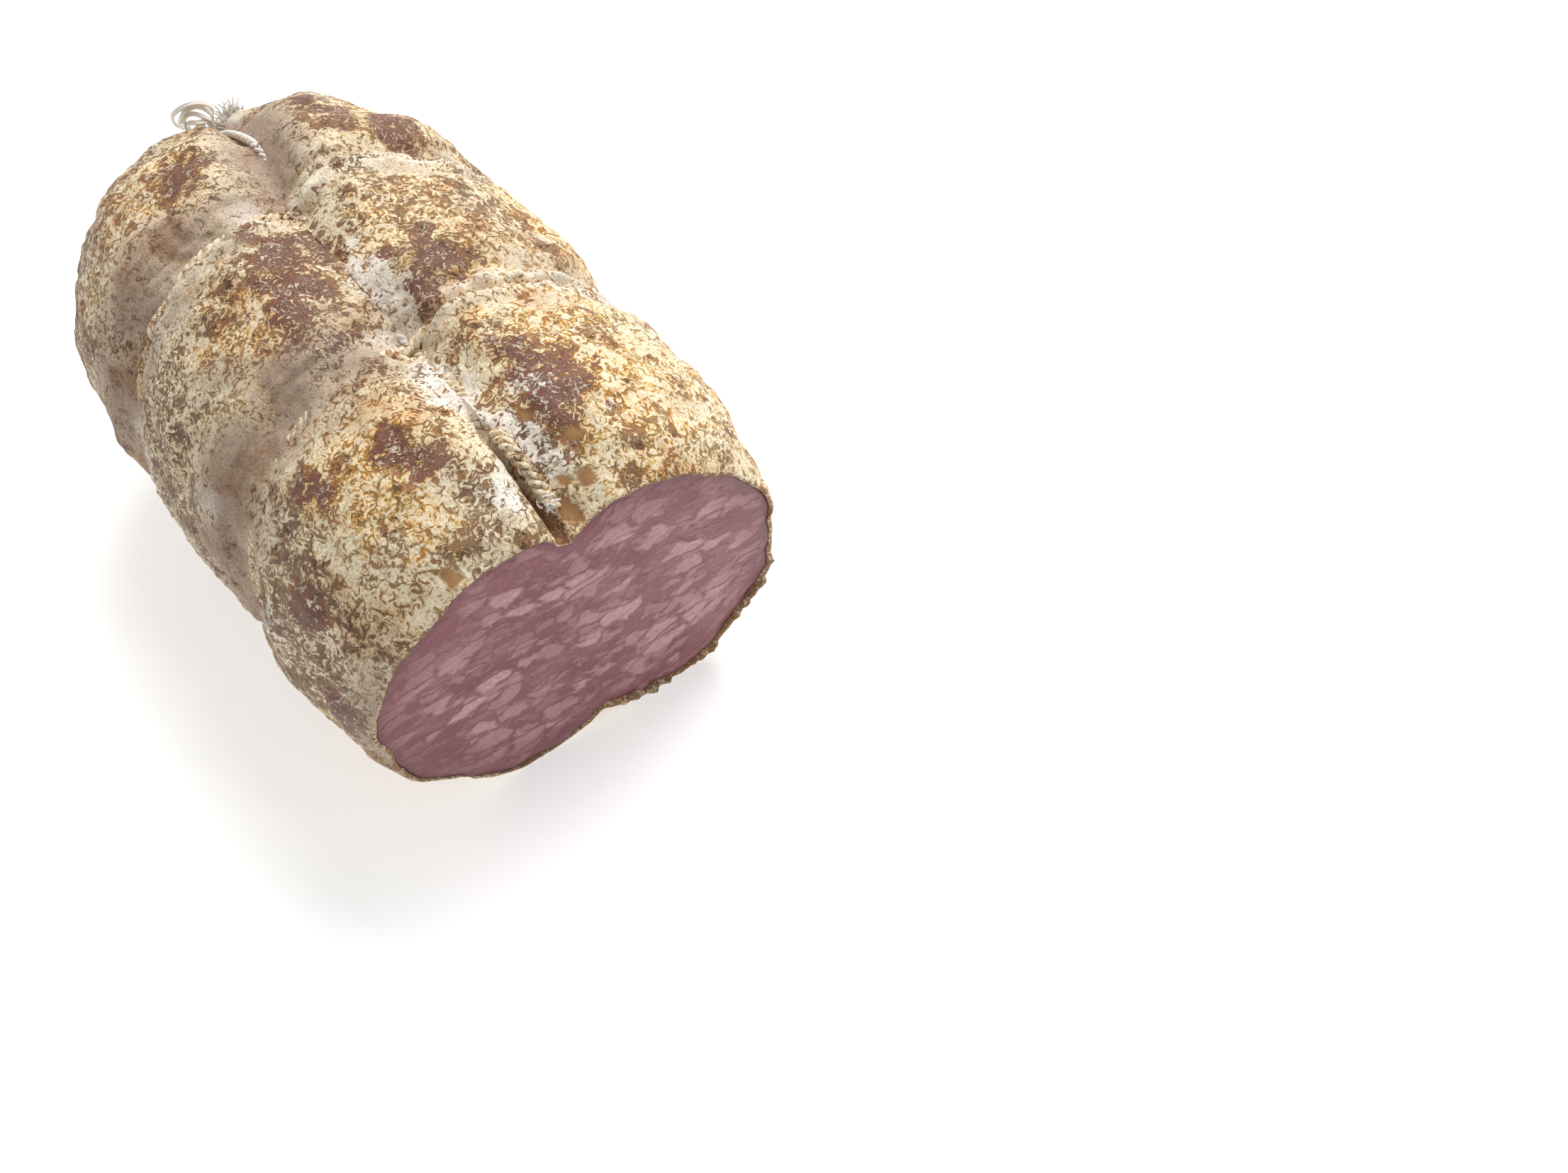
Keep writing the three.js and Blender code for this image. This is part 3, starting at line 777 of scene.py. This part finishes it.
grain = noise(tree, place, 0.0006, 3, 0.6)
rim_mark = total(tree, mark(tree, "rim"), (noise(tree, place, 0.005), 0.05))
shown = coats(
    tree, shown,
    (times(tree, between(tree, grain, 0.5, 0.72), 0.28), (100, 52, 58)),
    (times(tree, between(tree, rim_mark, 0.7, 1.0), 0.6), (122, 56, 62)),
    (times(tree, between(tree, rim_mark, 0.955, 1.03), 0.75), (98, 54, 54)),
)
height = total(tree, times(tree, mottle, 0.8), (large, 0.5), (medium, 0.3), (cloud, 0.3))
finish_with(cured_meat, shown, height, 0.00022, 0.44)

meat = skin_over(
    "cut_meat", np.concatenate([face, sides])[None], cured_meat, {"flow": meat_flow, "rim": meat_rim}
)
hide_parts("meat")

# ---- Top string ----
# Three-strand cotton twine laid along the groove on top, pulled in deep. Its cut end frays open near the cut
# face, mould has buried the middle of it, and it comes out again behind the rear girth on its way to the tie.
string_thickness = 2.2
thickness_with_mould = 2.7
bleached_thickness = 1.7
hitch_thickness = 2.4
twist_length = 5.2
string_starts = 4.6
buried_from = 44
clear_again_from = 104
tie_starts_at = 3.4


def evenly(path, step):
    """The path again with its points a step apart, and how far along it each one is."""
    steps = np.linalg.norm(np.diff(path, axis=0), axis=1)
    lengths = np.concatenate([[0], np.cumsum(steps)])
    even = np.linspace(0, lengths[-1], max(int(lengths[-1] / step), 6) + 1)
    return np.stack([np.interp(even, lengths, path[:, axis]) for axis in range(3)], 1), even


def smoothly(points, count):
    """A smooth curve through a few points: each stretch is the Catmull-Rom cubic of its four neighbours."""
    points = np.asarray(points, float)
    padded = np.concatenate([[2 * points[0] - points[1]], points, [2 * points[-1] - points[-2]]])
    at = np.linspace(0, len(points) - 1 - 1e-6, count)
    index = at.astype(int)
    t = (at - index)[:, None]
    p0, p1, p2, p3 = [padded[index + k] for k in range(4)]
    return 0.5 * (2 * p1 + (p2 - p0) * t + (2 * p0 - 5 * p1 + 4 * p2 - p3) * t**2
                  + (3 * p1 - p0 - 3 * p2 + p3) * t**3)


def square_to(forward, across):
    """Two directions square to a line's own and to each other, the first square to the one across it too."""
    first = unit(np.cross(forward, across))
    return first, np.cross(first, forward)


def tubes(centres, across, radii, sides):
    """Round tubes along centre lines, strands by rows by 3: each ring stands square to its line, on two
    directions that come from the line's own and the one across it."""
    first, second = square_to(unit(np.gradient(centres, axis=1)), across)
    angle = np.arange(sides) * 2 * math.pi / sides
    ring = first[..., None, :] * np.cos(angle)[:, None] + second[..., None, :] * np.sin(angle)[:, None]
    return centres[..., None, :] + ring * np.broadcast_to(radii, centres.shape[:2])[..., None, None], angle


def pulled_straight(lengths, angle):
    """The places on a thin tube as if it were pulled out straight: the length along it, then round it."""
    return together(lengths, 0.3 * np.cos(angle), 0.3 * np.sin(angle))


def twine(path, across, thickness, loop=False, strands=3, sides=8):
    """Strands twisted about a path. Each strand's middle turns round the path once in a twist length, half of
    the thickness off it, less its own radius. Also gives the strands' places as if pulled out straight."""
    centre, lengths = evenly(path, 0.5)
    if loop:
        centre, lengths = centre[:-1], lengths[:-1]
    onward = np.roll(centre, -1, 0) - np.roll(centre, 1, 0) if loop else np.gradient(centre, axis=0)
    first, second = square_to(unit(onward), across)
    whole = lengths[-1] + (lengths[1] if loop else 0)
    turns_in_all = max(round(whole / twist_length), 1)
    strand = np.arange(strands)[:, None] / strands
    angle = 2 * math.pi * (turns_in_all * lengths[None] / whole + strand)
    strand_radius = thickness * 0.27
    off = thickness / 2 - strand_radius
    centres = centre + off * (first * np.cos(angle)[..., None] + second * np.sin(angle)[..., None])
    facing = np.arange(sides) * 2 * math.pi / sides
    ring = first[:, None] * np.cos(facing)[:, None] + second[:, None] * np.sin(facing)[:, None]
    grids = centres[:, :, None] + strand_radius * ring
    turned = facing + angle[..., None]
    apart = 31 * strand[..., None]
    straight = together(
        lengths[None, :, None] + apart, strand_radius * np.cos(turned), strand_radius * np.sin(turned)
    )
    return grids, straight


def make_twine_material(name, mould, fresh_colour, shadow_colour):
    """Cotton twine: fine fibres that run along each strand, with mould over as much of it as is asked."""
    material = new_material(name)
    tree = material.node_tree
    place = object_place(tree)
    drawn = stretched(tree, mark(tree, "straight", "Vector"), (0.12, 1, 1))
    fibre = noise(tree, drawn, 0.00022, 3, 0.6)
    dirt = noise(tree, place, 0.004, 3)
    cotton = mix(tree, between(tree, fibre, 0.35, 0.65), shadow_colour, fresh_colour)
    dirt = times(tree, between(tree, dirt, 0.45, 0.75), min(0.15 + 1.6 * mould, 1))
    cotton = coats(tree, cotton, (dirt, (158, 132, 104)))
    bloom = add(tree, "ShaderNodeGroup", {}, node_tree=mould_bloom)
    tree.links.new(place, bloom.inputs["Place"])
    bloom.inputs["Powder"].default_value = 0.2
    bloom.inputs["Gold"].default_value = 0.2
    cover = between(tree, noise(tree, place, 0.003, 3), 0.62 - 0.5 * mould, 0.72 - 0.5 * mould)
    shown = mix(tree, cover, cotton, bloom.outputs["Color"])
    height = total(tree, fibre, (bloom.outputs["Height"], 0.5))
    finish_with(material, shown, height, 0.00015, 0.9)
    return material


aged_cotton = colour(206, 190, 164), colour(112, 92, 74)
mouldy_twine = make_twine_material("mouldy_twine", 0.5, *aged_cotton)
overgrown_twine = make_twine_material("overgrown_twine", 1.2, *aged_cotton)
bleached_twine = make_twine_material("bleached_twine", 0.0, colour(252, 250, 246), colour(226, 219, 208))


def on_to_tie(on_body, side, bend):
    """The path carried on from the body, round a bend and under the tie's turns. Side is 1 above the neck and
    -1 below it."""
    before_tie = neck_point(0.0, tie_starts_at, side * (neck_radius + 2.4))
    under_tie = neck_point(0.0, 6.2, side * (neck_radius + 0.8))
    middle = 0.5 * (on_body[-1] + before_tie) + np.array(bend)
    return np.concatenate([on_body, smoothly([on_body[-1], middle, before_tie, under_tie], 22)[1:]])


string_stations = np.linspace(string_starts, last_station, 150)
top_turn = math.pi / 2 - top_line(string_stations) / 36
# How far the string's middle stands above the bottom of the groove.
lift = 2.5 - 2.1 * ease(string_stations, 14, 21) - 1.5 * ease(string_stations, buried_from, buried_from + 6)
lift = lift + 1.9 * ease(string_stations, clear_again_from - 4, clear_again_from + 4)
on_body = body_point(string_stations, top_turn) + lift[:, None] * body_normal(string_stations, top_turn)
on_body[:, 0] += 0.2 * np.sin(string_stations / 3.1) + 0.5
top_path = on_to_tie(on_body, 1, (0, 0.3, 0.1))
lengthwise_across = np.array([1.0, 0.02, 0])
front_points = string_stations.searchsorted(buried_from)


def string_piece(
    name, path, material, nodes=(), across=lengthwise_across, loop=False, thickness=string_thickness
):
    """A twine as a piece that stands for those CAD nodes."""
    grids, straight = twine(path, across, thickness, loop)
    piece = skin_over(name, grids, material, {"straight": straight}, loop)
    if nodes:
        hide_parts(*nodes)
    return piece


string_piece(
    "top_twine_front", top_path[:front_points], mouldy_twine, ["top_string"], thickness=thickness_with_mould
)
string_piece("top_twine_rear", top_path[front_points:], bleached_twine, thickness=bleached_thickness)


def fibres_from(foot, aim, spread, length, count, thickness, curl, seed):
    """Loose fibres: each starts near the foot, sets off along the aim with a random lean, and curls by
    turning steadily about its own random axis."""
    rng = np.random.default_rng(seed)
    steps = 9
    lean = unit(aim + spread * rng.normal(size=(count, 3)))
    bend = np.cross(lean, unit(rng.normal(size=(count, 3))))
    reach = length * rng.uniform(0.55, 1.15, count)
    share = np.linspace(0, 1, steps)
    turned = curl * share * rng.uniform(0.4, 1.3, (count, 1))
    heading = lean[:, None] * np.cos(turned)[..., None] + unit(bend)[:, None] * np.sin(turned)[..., None]
    path = np.cumsum(heading, 1) * (reach / steps)[:, None, None]
    # The fibres' feet lie about one thickness from the middle of the tuft.
    centres = foot + 1.09375 * thickness * rng.normal(size=(count, 1, 3)) + path
    radii = thickness / 2 * (1 - 0.6 * share)[None]
    grids, angle = tubes(centres, unit(rng.normal(size=(count, 1, 3))), radii, 5)
    return grids, pulled_straight(reach[:, None, None] * share[None, :, None], angle)


frayed, frayed_straight = fibres_from(
    top_path[1], np.array([0.1, -0.6, 0.45]), spread=0.5, length=3.0, count=36, thickness=0.42,
    curl=3.2, seed=201,
)
frayed_end = skin_over("top_twine_frayed_end", frayed, bleached_twine, {"straight": frayed_straight})

# ---- Underside string ----
# The same twine along the groove underneath, from near the cut to the tie, pressed in by the sausage's own
# weight and overgrown like the rest.
under_stations = np.linspace(2, last_station, 150)
under_turn = np.full(150, -math.pi / 2)
under_body = body_point(under_stations, under_turn) + 1.2 * body_normal(under_stations, under_turn)
under_path = on_to_tie(under_body, -1, (0, 0.4, -0.5))
string_piece("underside_twine", under_path, overgrown_twine, ["underside_string"])

# ---- Girth strings and their hitches ----
# Two more lengths of twine go round the body and are hitched over the top string. The mould has grown over
# them, so that they show as pale bands on the right and sink out of sight in their grooves on the left.
hitch_points = np.array([
    (-4.2, 4.4, -0.2), (-3.4, 2.0, 1.4), (-3.0, 0, 2.3), (-2.2, -2.6, 2.1), (0.2, -3.8, 1.8),
    (2.4, -2.6, 2.2), (3.2, 0, 2.4), (3.4, 2.0, 1.5), (4.2, 4.4, 0.0),
])
turn_round = np.linspace(0, 2 * math.pi, 361)
for name, girth in girths.items():
    side_x = body_width / 2 * np.cos(turn_round)
    # The string's own station is as far behind the cut as the cut is in front of the string.
    station = -from_girth(girth, 0, side_x, turn_round)
    degrees = in_degrees(turn_round)
    start, end = girth["shows"]
    shown = ease(degrees, start - 12, start + 12) * (1 - ease(degrees, end - 12, end + 12))
    surface = body_point(station, turn_round)
    outwards = body_normal(station, turn_round)
    bridge = bell(surface[:, 0], 4.5) * (np.sin(turn_round) > 0)
    lift = -0.9 + 0.5 * shown + 0.3 * ripple(surface, 9, 120) * shown + 2.2 * bridge
    path = surface + lift[:, None] * outwards
    path[:, 2] = np.maximum(path[:, 2], string_thickness / 2 + 0.1)
    string_piece(
        name + "_girth_twine", path, overgrown_twine, [name + "_girth_string"],
        across=np.array([0, 1.0, 0]), loop=True,
    )
    crossing = body_point(np.array(girth["along"] + girth["bow"]), np.array(math.pi / 2))
    string_piece(
        name + "_hitch_twine", smoothly(crossing + hitch_points, 80), overgrown_twine, [name + "_hitch"],
        across=np.array([0.1, 0.1, 1.0]), thickness=hitch_thickness,
    )

# ---- Neck tie ----
# The twine is pulled round the gathered neck in two turns and knotted on top.
tie_pitch = 2.3
tie_begins = 1.2
tie_radius = neck_radius + 1.0
tie_turns = np.linspace(0, 2.1 * 2 * math.pi, 160)
tie_out = neck_tie_at + tie_pitch * tie_turns / (2 * math.pi) - 0.3
tie_angle = tie_turns + tie_begins
tie_path = neck_point(tie_radius * np.cos(tie_angle), tie_out, tie_radius * np.sin(tie_angle))
string_piece("neck_tie_twine", tie_path, bleached_twine, ["neck_tie"], across=neck_ahead)
knot_thickness = 1.9
knot_turns = np.linspace(0, 2 * math.pi, 60)
knot_path = neck_point(
    1.0 + 1.3 * np.sin(knot_turns), neck_tie_at + 1.4 + 2.0 * np.cos(knot_turns),
    neck_radius + 2.3 + 1.0 * np.sin(2 * knot_turns),
)
string_piece("neck_knot", knot_path, bleached_twine, across=neck_up, loop=True, thickness=knot_thickness)

# ---- Loop strands ----
# A bundle of thin, half clear strands springs from the knot and curls over to the left, with free ends.
pale_strand = new_material("pale_strand")
tree = pale_strand.node_tree
drawn = stretched(tree, mark(tree, "straight", "Vector"), (0.2, 1, 1))
strand_noise = noise(tree, drawn, 0.0004, 3)
strand_colour = mix(tree, strand_noise, colour(222, 212, 198), colour(244, 239, 230))
finish_with(pale_strand, strand_colour, strand_noise, 0.0001, 0.45, **{"Coat Weight": 0.2})

smallest_loop_radius = 1.2
loop_radius_step = 0.72
loop_spacing = 0.85
loop_middle_side, loop_middle_up = -5.4, 13.2
loop_strand_radius = 0.34
half_apart = 0.24
for index in range(5):
    radius = smallest_loop_radius + loop_radius_step * index
    out = neck_tie_at + 2.2 + loop_spacing * (index - 2)
    angle = np.linspace(0, math.pi + 0.45 + 0.12 * index, 40)
    grow = 1 + 0.07 * np.sin(3 * angle + index)
    curl = neck_point(
        loop_middle_side + radius * grow * np.cos(angle),
        out + 0.4 * np.sin(2 * angle + 2 * index),
        loop_middle_up + 1.2 * radius * grow * np.sin(angle),
    )
    foot = neck_point(np.array([-2.6, -3.2]), np.full(2, out), np.array([5.6, 7.4]))
    path = smoothly(np.concatenate([foot, curl[::3]]), 70)
    pair = path + np.array([-half_apart, half_apart])[:, None, None] * neck_ahead
    grids, around = tubes(pair, neck_ahead, loop_strand_radius, 8)
    lengths = np.linspace(0, radius * 4, len(path))[:, None] + 9 * index
    straight = np.broadcast_to(pulled_straight(lengths, around), grids.shape)
    strand = skin_over(f"loop_strand_piece_{index + 1}", grids, pale_strand, {"straight": straight})
    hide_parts(f"loop_strand_{index + 1}")

# ---- Tie tails ----
# The cut ends of the tie, frayed into soft tufts that stand up beside the loops.
for index, lean in enumerate((0.1, 0.75)):
    foot = neck_point(0.4 + 0.5 * lean, neck_tie_at + 2.2 + 3 * lean, neck_radius + 2.6)
    aim = neck_up + 0.8 * lean * neck_side + 0.2 * neck_ahead
    tuft, tuft_straight = fibres_from(
        foot, aim, spread=0.34, length=5.4, count=60, thickness=0.6, curl=1.2, seed=210 + index
    )
    tail = skin_over(f"tie_tail_tuft_{index + 1}", tuft, bleached_twine, {"straight": tuft_straight})
    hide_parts(f"tie_tail_{index + 1}")

# ---- Neck flap ----
# A leaf of the gathered gut that was not caught by the tie. It has dried pale and stands up to the right of
# the knot.
across_flap = np.linspace(-1, 1, 24)
up_flap = np.linspace(0, 1, 14)[:, None]
flap_half = (1.3 + 1.7 * np.sqrt(up_flap)) * (1 + 0.12 * np.sin(9 * up_flap))
flap_side = 3.6 + flap_half * across_flap + 1.2 * up_flap
flap_up = 4.2 + 5.6 * up_flap * (1 - 0.16 * across_flap**2) + 0.35 * up_flap * np.sin(7 * across_flap)
flap_out = neck_tie_at + 2.0 + 0.8 * np.cos(2.6 * across_flap) * up_flap
flap_out = flap_out + 0.3 * np.sin(8 * across_flap + 3 * up_flap)
front_face = neck_point(flap_side, flap_out, flap_up)
back_face = neck_point(flap_side, flap_out + 0.35, flap_up)[:, ::-1]
flap = np.concatenate([front_face, back_face], 1)
no_mark = np.zeros(flap[None].shape[:-1])
flap_marks = {name: no_mark for name in skin_marks}
flap_marks["powder"] = no_mark + 1
neck_flap = skin_over("neck_flap", flap[None], mouldy_casing, flap_marks)

# ---- Floor and light ----
# A plain white table top under a bright, even studio sky, with one broad soft lamp behind and to the right.
floor_material = new_material("floor")
floor_shader = floor_material.node_tree.nodes["Principled BSDF"].inputs
floor_shader["Base Color"].default_value = (0.93, 0.93, 0.925, 1)
floor_shader["Roughness"].default_value = 0.9
floor_shader["Emission Color"].default_value = (1, 1, 1, 1)
floor_shader["Emission Strength"].default_value = 0.42
floor_mesh = bpy.data.meshes.new("floor")
floor_mesh.from_pydata([(-3, -3, 0), (3, -3, 0), (3, 3, 0), (-3, 3, 0)], [], [(0, 1, 2, 3)])
floor_mesh.materials.append(floor_material)
floor = bpy.data.objects.new("floor", floor_mesh)
scene.collection.objects.link(floor)

world = bpy.data.worlds.new("studio")
world.use_nodes = True
sky = world.node_tree.nodes["Background"].inputs
sky["Color"].default_value = (1, 1, 1, 1)
sky["Strength"].default_value = 0.5
scene.world = world


def soft_lamp(name, at, size, power):
    """A square lamp at that place, turned to face the sausage."""
    data = bpy.data.lights.new(name, "AREA")
    data.size = size
    data.energy = power
    lamp = bpy.data.objects.new(name, data)
    away = unit(np.array(at) - np.array([0, 0, 0.04]))
    side = unit(np.cross([0, 0, 1.0], away))
    lamp.matrix_world = Matrix.Translation(at) @ Matrix(
        np.column_stack([side, np.cross(away, side), away]).tolist()
    ).to_4x4()
    scene.collection.objects.link(lamp)


soft_lamp("key", (0.75, 0.35, 1.1), 0.8, 19)

scene.view_settings.view_transform = "Standard"
